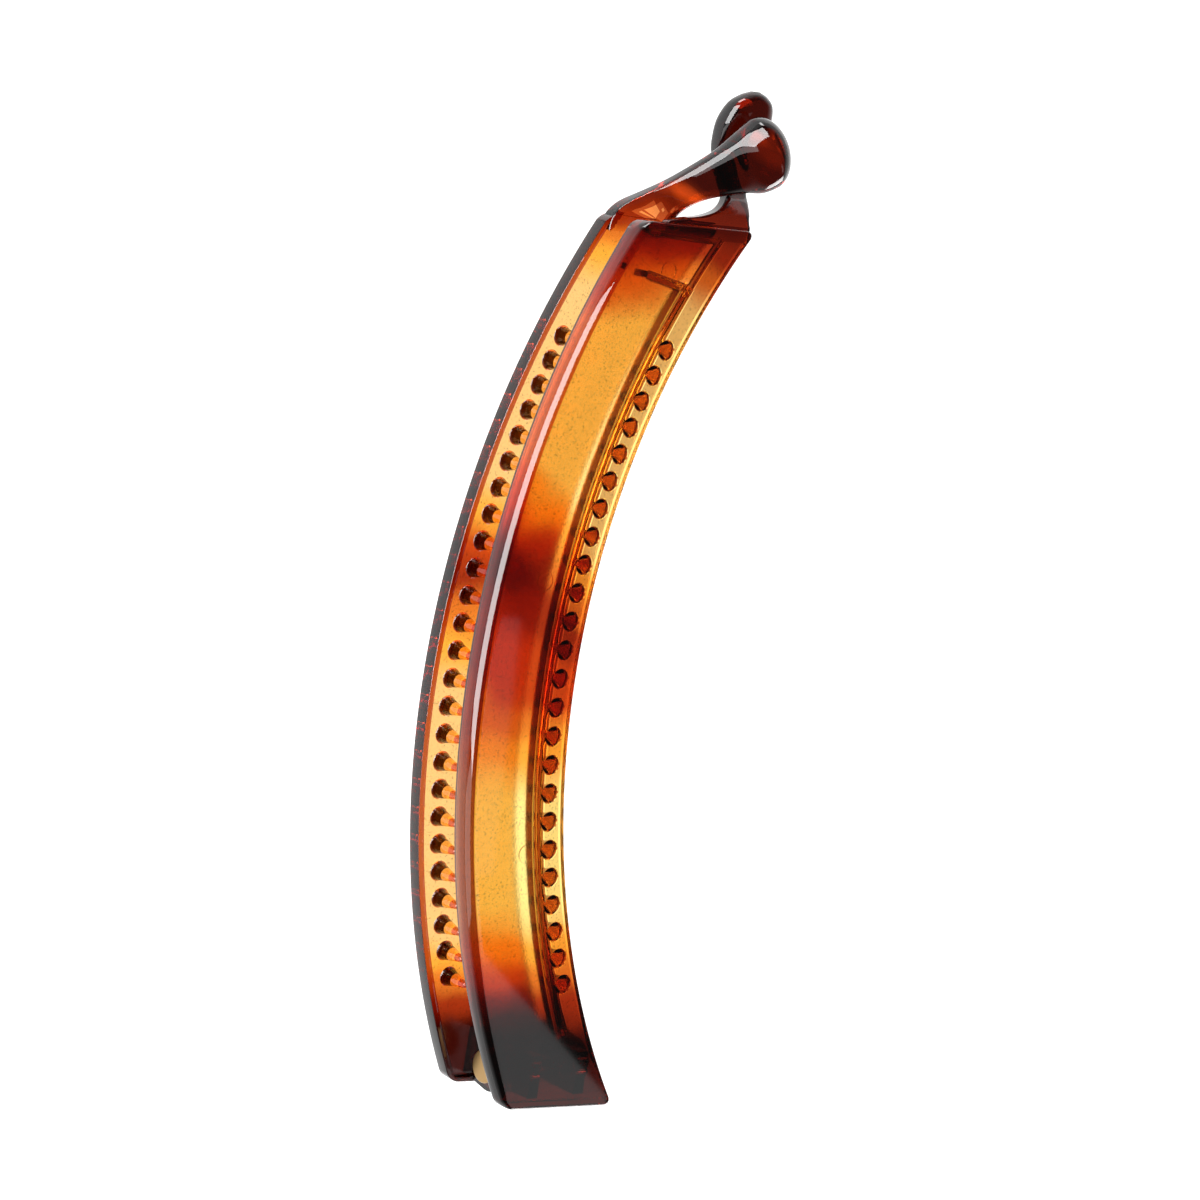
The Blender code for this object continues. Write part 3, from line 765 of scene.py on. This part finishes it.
def build_front_arm():
    """Front arm: plate with a wall, rib, bars, teeth, finger and lugs. It leans about the pin."""
    inner = PIN_Z + FRONT_INNER
    side = near_edge_steps(FRONT_WALL_THICKNESS, FRONT_SIDE_ROUND, FRONT_WALL_FILLET)
    hinge_end = near_edge_steps(FRONT_WALL_THICKNESS, FRONT_EDGE_ROUND, FRONT_WALL_FILLET)
    plain = near_edge_steps(0.0, FRONT_EDGE_ROUND)
    base = arm_mesh(front_heights, (side, plain), hinge_end, plain)
    into_plate = inner + FRONT_PLATE / 2
    lug_outline = [(PIN_X + FRONT_LUG_RADIUS, into_plate), (PIN_X - FRONT_LUG_RADIUS, into_plate)]
    lug_outline += circle(PIN_X, PIN_Z, FRONT_LUG_RADIUS, *FRONT_LUG_ARC, LUG_STEPS)
    lugs = [slab(lug_outline, span) for span in lug_spans(BACK_LUG_OUTER - LUG_THICKNESS - GAP)]
    hole = slab(circle(PIN_X, PIN_Z, HOLE_RADIUS), (HINGE_Y - BACK_LUG_OUTER, HINGE_Y + BACK_LUG_OUTER))
    marks = [ring_cut(in_row(x, y), inner) for x, y in EJECTOR_MARKS]
    tools = [("teeth", tooth_row(FRONT_TEETH, inner, -1), "UNION"),
             ("marks", joined(marks), "DIFFERENCE"),
             *inner_bars(),
             ("finger", front_finger(), "UNION"),
             ("lugs", joined(lugs), "UNION"),
             ("hole", hole, "DIFFERENCE")]
    arm = combined("front_arm_plastic", base, tools)
    mark_faces(arm, front_finish)
    pin = Vector((PIN_X - ORIGIN_X, 0.0, PIN_Z)) * MM
    lean = Matrix.Rotation(math.radians(CLOSED_TILT), 4, "Y")
    arm.data.transform(Matrix.Translation(pin) @ lean @ Matrix.Translation(-pin))
    return arm


def build_pin():
    """Pin with a rounded flat head outside each of the back arm's lugs."""
    inner = BACK_LUG_OUTER + GAP
    outer = inner + PIN_HEAD_THICKNESS
    rim = PIN_HEAD_ROUND
    half = [(inner, PIN_RADIUS), (inner, PIN_HEAD_RADIUS), (outer - rim, PIN_HEAD_RADIUS)]
    for turn in turns(90, 4, 1):
        half.append((outer - rim + rim * math.sin(turn), PIN_HEAD_RADIUS - rim + rim * math.cos(turn)))
    levels = [(-along, radius) for along, radius in reversed(half)] + half
    rings = []
    for along, radius in levels:
        y = HINGE_Y + along - ORIGIN_Y
        rings.append([(x - ORIGIN_X, y, z) for x, z in circle(PIN_X, PIN_Z, radius)])
    return solid("gold_pin", *loft_mesh(rings))


def new_material(name):
    """A new material and its shader."""
    mat = bpy.data.materials.new(name)
    mat.use_nodes = True
    return mat, mat.node_tree.nodes["Principled BSDF"]


def set_inputs(made, values):
    """The node, with its named inputs set."""
    for name, value in values.items():
        made.inputs[name].default_value = value
    return made


def node(tree, kind, **inputs):
    """A new node with these inputs set."""
    return set_inputs(tree.nodes.new(kind), inputs)


def face_attribute(tree, name):
    """A node that reads a face attribute."""
    made = tree.nodes.new("ShaderNodeAttribute")
    made.attribute_name = name
    return made


def sums(tree, operation, *values):
    """Output of a maths node whose inputs are links or numbers."""
    made = tree.nodes.new("ShaderNodeMath")
    made.operation = operation
    for socket, value in zip(made.inputs, values):
        if isinstance(value, (int, float)):
            socket.default_value = value
        else:
            tree.links.new(value, socket)
    return made.outputs[0]


def tortoiseshell(name, stops, slant_share):
    """Clear plastic whose colour changes along the arm: stops hold (x in the row frame, colour).
    The face attribute frost says where it is grainy; a second face attribute holds painted shade and
    painted light, which make faces deeper or paler."""
    mat, shader = new_material(name)
    tree = mat.node_tree
    set_inputs(shader, {"IOR": PLASTIC_IOR, "Transmission Weight": 1.0})
    frost = face_attribute(tree, "frost")
    painted_shading = face_attribute(tree, "painted_shading")
    place = tree.nodes.new("ShaderNodeTexCoord")
    parts = tree.nodes.new("ShaderNodeSeparateXYZ")
    tree.links.new(place.outputs["Object"], parts.inputs[0])
    along, across = parts.outputs["X"], parts.outputs["Y"]

    # The dark patch in the middle lies aslant, and every patch has a cloudy border
    from_middle = sums(tree, "DIVIDE", sums(tree, "SUBTRACT", along, SLANT_MIDDLE), SLANT_REACH)
    nearness = sums(tree, "SUBTRACT", 1.0, sums(tree, "MULTIPLY", from_middle, from_middle))
    nearness = sums(tree, "MAXIMUM", nearness, 0.0)
    from_line = sums(tree, "SUBTRACT", across, -ORIGIN_Y * MM)
    slant = sums(tree, "MULTIPLY", sums(tree, "MULTIPLY", from_line, slant_share), nearness)
    cloud = node(tree, "ShaderNodeTexNoise", Scale=CLOUD_SCALE, Detail=2.0, Roughness=0.5)
    tree.links.new(place.outputs["Object"], cloud.inputs["Vector"])
    wander = sums(tree, "MULTIPLY", sums(tree, "SUBTRACT", cloud.outputs["Fac"], 0.5), CLOUD_SHIFT)
    moved = sums(tree, "SUBTRACT", sums(tree, "ADD", along, wander), slant)
    share = set_inputs(tree.nodes.new("ShaderNodeMapRange"), {"From Min": STOP_LOW, "From Max": STOP_HIGH})
    tree.links.new(moved, share.inputs["Value"])
    ramp = tree.nodes.new("ShaderNodeValToRGB")
    ramp.color_ramp.interpolation = "EASE"
    while len(ramp.color_ramp.elements) < len(stops):
        ramp.color_ramp.elements.new(0.5)
    for element, (x, colour) in zip(ramp.color_ramp.elements, stops):
        element.position = (x * MM - STOP_LOW) / (STOP_HIGH - STOP_LOW)
        element.color = (*colour, 1.0)
    tree.links.new(share.outputs["Result"], ramp.inputs["Fac"])

    # Dark grain where the face is frosted, then the face's painted shade and painted light, never lighter
    # than clear
    grain = node(tree, "ShaderNodeTexNoise", Scale=GRAIN_SCALE, Detail=1.0, Roughness=0.6)
    tree.links.new(place.outputs["Object"], grain.inputs["Vector"])
    speck = set_inputs(tree.nodes.new("ShaderNodeMapRange"), {
        "From Min": GRAIN_LOW, "From Max": GRAIN_HIGH, "To Min": GRAIN_DARKNESS, "To Max": 0.0})
    tree.links.new(grain.outputs["Fac"], speck.inputs["Value"])
    dark = sums(tree, "MULTIPLY", speck.outputs["Result"], frost.outputs["Fac"])
    speckled = tree.nodes.new("ShaderNodeVectorMath")
    speckled.operation = "SCALE"
    tree.links.new(ramp.outputs["Color"], speckled.inputs["Vector"])
    tree.links.new(sums(tree, "SUBTRACT", 1.0, dark), speckled.inputs["Scale"])
    shaded_colour = tree.nodes.new("ShaderNodeVectorMath")
    shaded_colour.operation = "MULTIPLY"
    tree.links.new(speckled.outputs["Vector"], shaded_colour.inputs[0])
    tree.links.new(painted_shading.outputs["Color"], shaded_colour.inputs[1])
    limited = tree.nodes.new("ShaderNodeVectorMath")
    limited.operation = "MINIMUM"
    limited.inputs[1].default_value = PLAIN
    tree.links.new(shaded_colour.outputs["Vector"], limited.inputs[0])
    tree.links.new(limited.outputs["Vector"], shader.inputs["Base Color"])

    rough = sums(tree, "MULTIPLY", frost.outputs["Fac"], FROST_ROUGHNESS - POLISH_ROUGHNESS)
    tree.links.new(sums(tree, "ADD", rough, POLISH_ROUGHNESS), shader.inputs["Roughness"])
    bump = node(tree, "ShaderNodeBump", Strength=GRAIN_BUMP, Distance=GRAIN_DEPTH)
    frosted_grain = sums(tree, "MULTIPLY", grain.outputs["Fac"], frost.outputs["Fac"])
    tree.links.new(frosted_grain, bump.inputs["Height"])
    tree.links.new(bump.outputs["Normal"], shader.inputs["Normal"])
    absorb = node(tree, "ShaderNodeVolumeAbsorption", Color=(*ABSORPTION_COLOUR, 1.0),
                  Density=ABSORPTION_DENSITY)
    tree.links.new(absorb.outputs["Volume"], tree.nodes["Material Output"].inputs["Volume"])
    return mat


def arm_offset(point):
    """Offset in the band, in millimetres, of a point in the row frame in metres."""
    x = point.x / MM + ORIGIN_X - ARC_CENTRE_X
    y = point.y / MM + ORIGIN_Y + ARC_RADIUS
    return math.hypot(x, y) - ARC_RADIUS


def mark_faces(arm, rule):
    """Face attributes for frost and for painted shade and light, as rule gives them from a face's centre,
    offset and normal.
    """
    frost = arm.data.attributes.new("frost", "FLOAT", "FACE")
    painted_shading = arm.data.attributes.new("painted_shading", "FLOAT_COLOR", "FACE")
    for index, face in enumerate(arm.data.polygons):
        x = face.center.x / MM + ORIGIN_X
        y = face.center.y / MM + ORIGIN_Y
        grainy, colour = rule(x, y, face.center.z / MM, arm_offset(face.center), face.normal)
        frost.data[index].value = grainy
        painted_shading.data[index].color = (*colour, 1.0)


def on_outer_wall(offset, normal):
    """Whether a face belongs to the steep outer face along an arm's convex side."""
    return offset > HALF_BAND - NEAR and abs(normal.z) < STEEP


def back_finish(x, y, height, offset, normal):
    """How grainy a face of the back arm is, and the painted shade and light in its colour."""
    if x > FINGER_START_X:
        web_low, web_high = WEB_DIAGONAL
        # Painted light: a pale band across the web of the back finger
        if x < WEB_END_X and web_low < x + y < web_high:
            return 0.0, WEB_PAINTED_LIGHT
        # Painted shade on the finger's steep edges
        on_edge = x < BACK_FINGER_EDGE_END and abs(normal.z) < STEEP
        return 0.0, FINGER_EDGE_SHADE if on_edge else PLAIN
    # Painted shade: the back arm's outer wall is darkened
    if on_outer_wall(offset, normal):
        return 0.0, BACK_WALL_SHADE
    # Painted shade on the rim band of the back arm
    if offset > HALF_BAND - RIM_BAND and height > BACK_PLATE - NEAR and x > -END_X + RIM_BAND:
        return 0.0, BACK_RIM_SHADE
    # Painted shade on the back teeth: deep at their feet and tips, light in their middles
    in_tooth_row = abs(offset - BACK_TEETH["offset"]) < TOOTH_REACH and abs(x) < TEETH_END_X
    if in_tooth_row and height > BACK_PLATE + NEAR_PLATE:
        at_middle = TOOTH_FOOT_HEIGHT <= height <= TOOTH_TIP_HEIGHT
        return 0.0, BACK_TOOTH_SHADE if at_middle else BACK_TOOTH_END_SHADE
    # The level plate face is frosted; its border at the clasp end gets the rim's painted shade
    if normal.z > LEVEL and abs(height - BACK_PLATE) < NEAR_PLATE:
        return (1.0, PLAIN) if x < END_X - BACK_BORDER else (0.0, BACK_RIM_SHADE)
    return 0.0, PLAIN


def front_finish(x, y, height, offset, normal):
    """How grainy a face of the front arm is, and the painted shade and light in its colour."""
    inner = PIN_Z + FRONT_INNER
    if x > FINGER_START_X:
        # Painted shade on the finger's steep edges
        on_edge = x < FRONT_FINGER_EDGE_END and abs(normal.z) < FINGER_STEEP
        return 0.0, FINGER_EDGE_SHADE if on_edge else PLAIN
    if abs(offset) > HALF_BAND + MARGIN:
        return 0.0, PLAIN
    # Painted shade on the rounded edge and the outer wall, darker towards the hinge end
    steepest, flattest = ROUND_NORMAL
    on_round = offset > HALF_BAND - FRONT_SIDE_ROUND and steepest < normal.z < flattest
    if (on_round and height > inner) or on_outer_wall(offset, normal):
        low, high = WALL_CHANGE
        share = min(max((x - low) / (high - low), 0.0), 1.0)
        return 0.0, tuple(Vector(LOW_FRONT_WALL_SHADE).lerp(Vector(FRONT_WALL_SHADE), share))
    if height < inner - MARGIN:
        # Painted shade on the front teeth
        if offset < RIB_OFFSET - TEETH_BEYOND_RIB and abs(x) < TEETH_END_X:
            return 0.0, FRONT_TOOTH_SHADE
        # Painted shade on the cross bar
        if offset < CROSS_BAR_END_OFFSET and x > CROSS_BAR_X - CROSS_BAR_REACH:
            return 0.0, CROSS_BAR_SHADE
        # Painted shade on the rib
        near_rib = abs(offset - RIB_OFFSET) < RIB_HALF_THICKNESS + RIB_REACH
        if near_rib and x > -END_X + RIB_START_DISTANCE:
            return 0.0, RIB_SHADE
    # The level inner face is frosted; beside the teeth it gets painted shade, lighter from the middle to
    # the hinge end
    if normal.z < -LEVEL and abs(height - inner) < NEAR_INNER_FACE:
        if offset > RIB_OFFSET:
            return 1.0, PLAIN
        return 1.0, BESIDE_TEETH_SHADE if x > LOW_TEETH_END_X else LOW_BESIDE_TEETH_SHADE
    # Hollow fillets by the wall and the rib: partly frosted, with painted shade
    flattest, steepest = HOLLOW_NORMAL
    hollow = inner - HOLLOW_DEPTH < height < inner + NEAR and flattest < normal.z < steepest
    beside_rib = RIB_OFFSET < offset < RIB_OFFSET + HOLLOW_RIB_BAND
    if hollow and (offset > HALF_BAND - HOLLOW_WALL_BAND or beside_rib):
        return HOLLOW_FROST, HOLLOW_SHADE
    return 0.0, PLAIN


def dress(arm, material, body, cad_node):
    """Give a piece its material, say which body it rides on, and hide the solid that it stands for."""
    arm.data.materials.clear()
    arm.data.materials.append(material)
    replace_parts(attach(arm, body), cad_node)


def softbox(name, place, size, radiance, turn=None):
    """Rectangular light that faces the clip, or straight down and turned if turn is given in degrees."""
    light = bpy.data.lights.new(name, "AREA")
    light.shape = "RECTANGLE"
    light.size, light.size_y = size
    light.energy = radiance * math.pi * size[0] * size[1]
    lamp = bpy.data.objects.new(name, light)
    lamp.location = place
    if turn is None:
        lamp.rotation_euler = (-Vector(place)).to_track_quat("-Z", "Y").to_euler()
    else:
        lamp.rotation_euler = (0.0, 0.0, math.radians(turn))
    lamp.visible_camera = False
    bpy.context.scene.collection.objects.link(lamp)


back_arm = build_back_arm()
shade(back_arm, ARM_SHARP_ANGLE)
back_plastic = tortoiseshell("tortoiseshell_back", BACK_STOPS, 0.0)
dress(back_arm, back_plastic, "back", "back_arm")

front_arm = build_front_arm()
shade(front_arm, ARM_SHARP_ANGLE)
front_plastic = tortoiseshell("tortoiseshell_front", FRONT_STOPS, FRONT_SLANT)
dress(front_arm, front_plastic, "front", "front_arm")

gold, gold_shader = new_material("gold_metal")
set_inputs(gold_shader, {"Base Color": (*GOLD_COLOUR, 1.0), "Metallic": 1.0, "Roughness": GOLD_ROUGHNESS})
pin = build_pin()
shade(pin, PIN_SHARP_ANGLE)
dress(pin, gold, "back", "hinge_pin")

# Floor: plain, pale and softly lit from within like a light table
bpy.ops.mesh.primitive_plane_add(size=FLOOR_SIZE, location=(0.0, 0.0, FLOOR_HEIGHT))
floor = bpy.context.object
floor.name = "floor"
paper, paper_shader = new_material("floor_paper")
set_inputs(paper_shader, {
    "Base Color": (FLOOR_GREY, FLOOR_GREY, FLOOR_GREY, 1.0), "Roughness": FLOOR_ROUGHNESS,
    "Specular IOR Level": 0.0, "Emission Color": (1.0, 1.0, 1.0, 1.0), "Emission Strength": FLOOR_GLOW})
floor.data.materials.append(paper)

# Studio: pale round the horizon and dim overhead, with softboxes for the highlights
world = bpy.data.worlds.new("studio")
bpy.context.scene.world = world
world.use_nodes = True
sky = world.node_tree
background = set_inputs(sky.nodes["Background"], {"Color": (1.0, 1.0, 1.0, 1.0)})
way = sky.nodes.new("ShaderNodeTexCoord")
way_parts = sky.nodes.new("ShaderNodeSeparateXYZ")
sky.links.new(way.outputs["Generated"], way_parts.inputs[0])
fade = set_inputs(sky.nodes.new("ShaderNodeMapRange"), {
    "From Min": SKY_FADE[0], "From Max": SKY_FADE[1],
    "To Min": HORIZON_STRENGTH, "To Max": OVERHEAD_STRENGTH})
fade.interpolation_type = "SMOOTHSTEP"
sky.links.new(way_parts.outputs["Z"], fade.inputs["Value"])
sky.links.new(fade.outputs["Result"], background.inputs["Strength"])

softbox("box_convex_side", place=(0.22, 0.90, 0.62), size=(1.10, 1.00), radiance=13.0)
softbox("box_convex_hinge_end", place=(-0.52, 0.90, 0.62), size=(0.38, 1.00), radiance=2.6)
softbox("box_hinge_end", place=(-0.382, -0.376, 0.60), size=(0.60, 0.36), radiance=0.9, turn=48.7)
softbox("box_middle", place=(-0.142, -0.392, 0.60), size=(0.096, 0.144), radiance=0.5, turn=0)
softbox("box_low_right", place=(-0.72, -0.62, 0.28), size=(0.5, 0.3), radiance=12.0)
softbox("box_clasp_side", place=(1.0, 0.25, 0.20), size=(0.5, 0.35), radiance=12.0)

camera_data = bpy.data.cameras.new("camera")
camera_data.lens = CAMERA_LENS
camera_data.sensor_width = 36.0
camera_data.clip_start = 0.01
camera = bpy.data.objects.new("camera", camera_data)
bpy.context.scene.collection.objects.link(camera)
back_way = Vector(CAMERA_BACK).normalized()
right_way = Vector(CAMERA_UP).normalized().cross(back_way).normalized()
up_way = back_way.cross(right_way)
camera.matrix_world = Matrix((
    (right_way.x, up_way.x, back_way.x, CAMERA_PLACE[0]),
    (right_way.y, up_way.y, back_way.y, CAMERA_PLACE[1]),
    (right_way.z, up_way.z, back_way.z, CAMERA_PLACE[2]),
    (0.0, 0.0, 0.0, 1.0)))
bpy.context.scene.camera = camera
bpy.context.scene.view_settings.view_transform = "Standard"
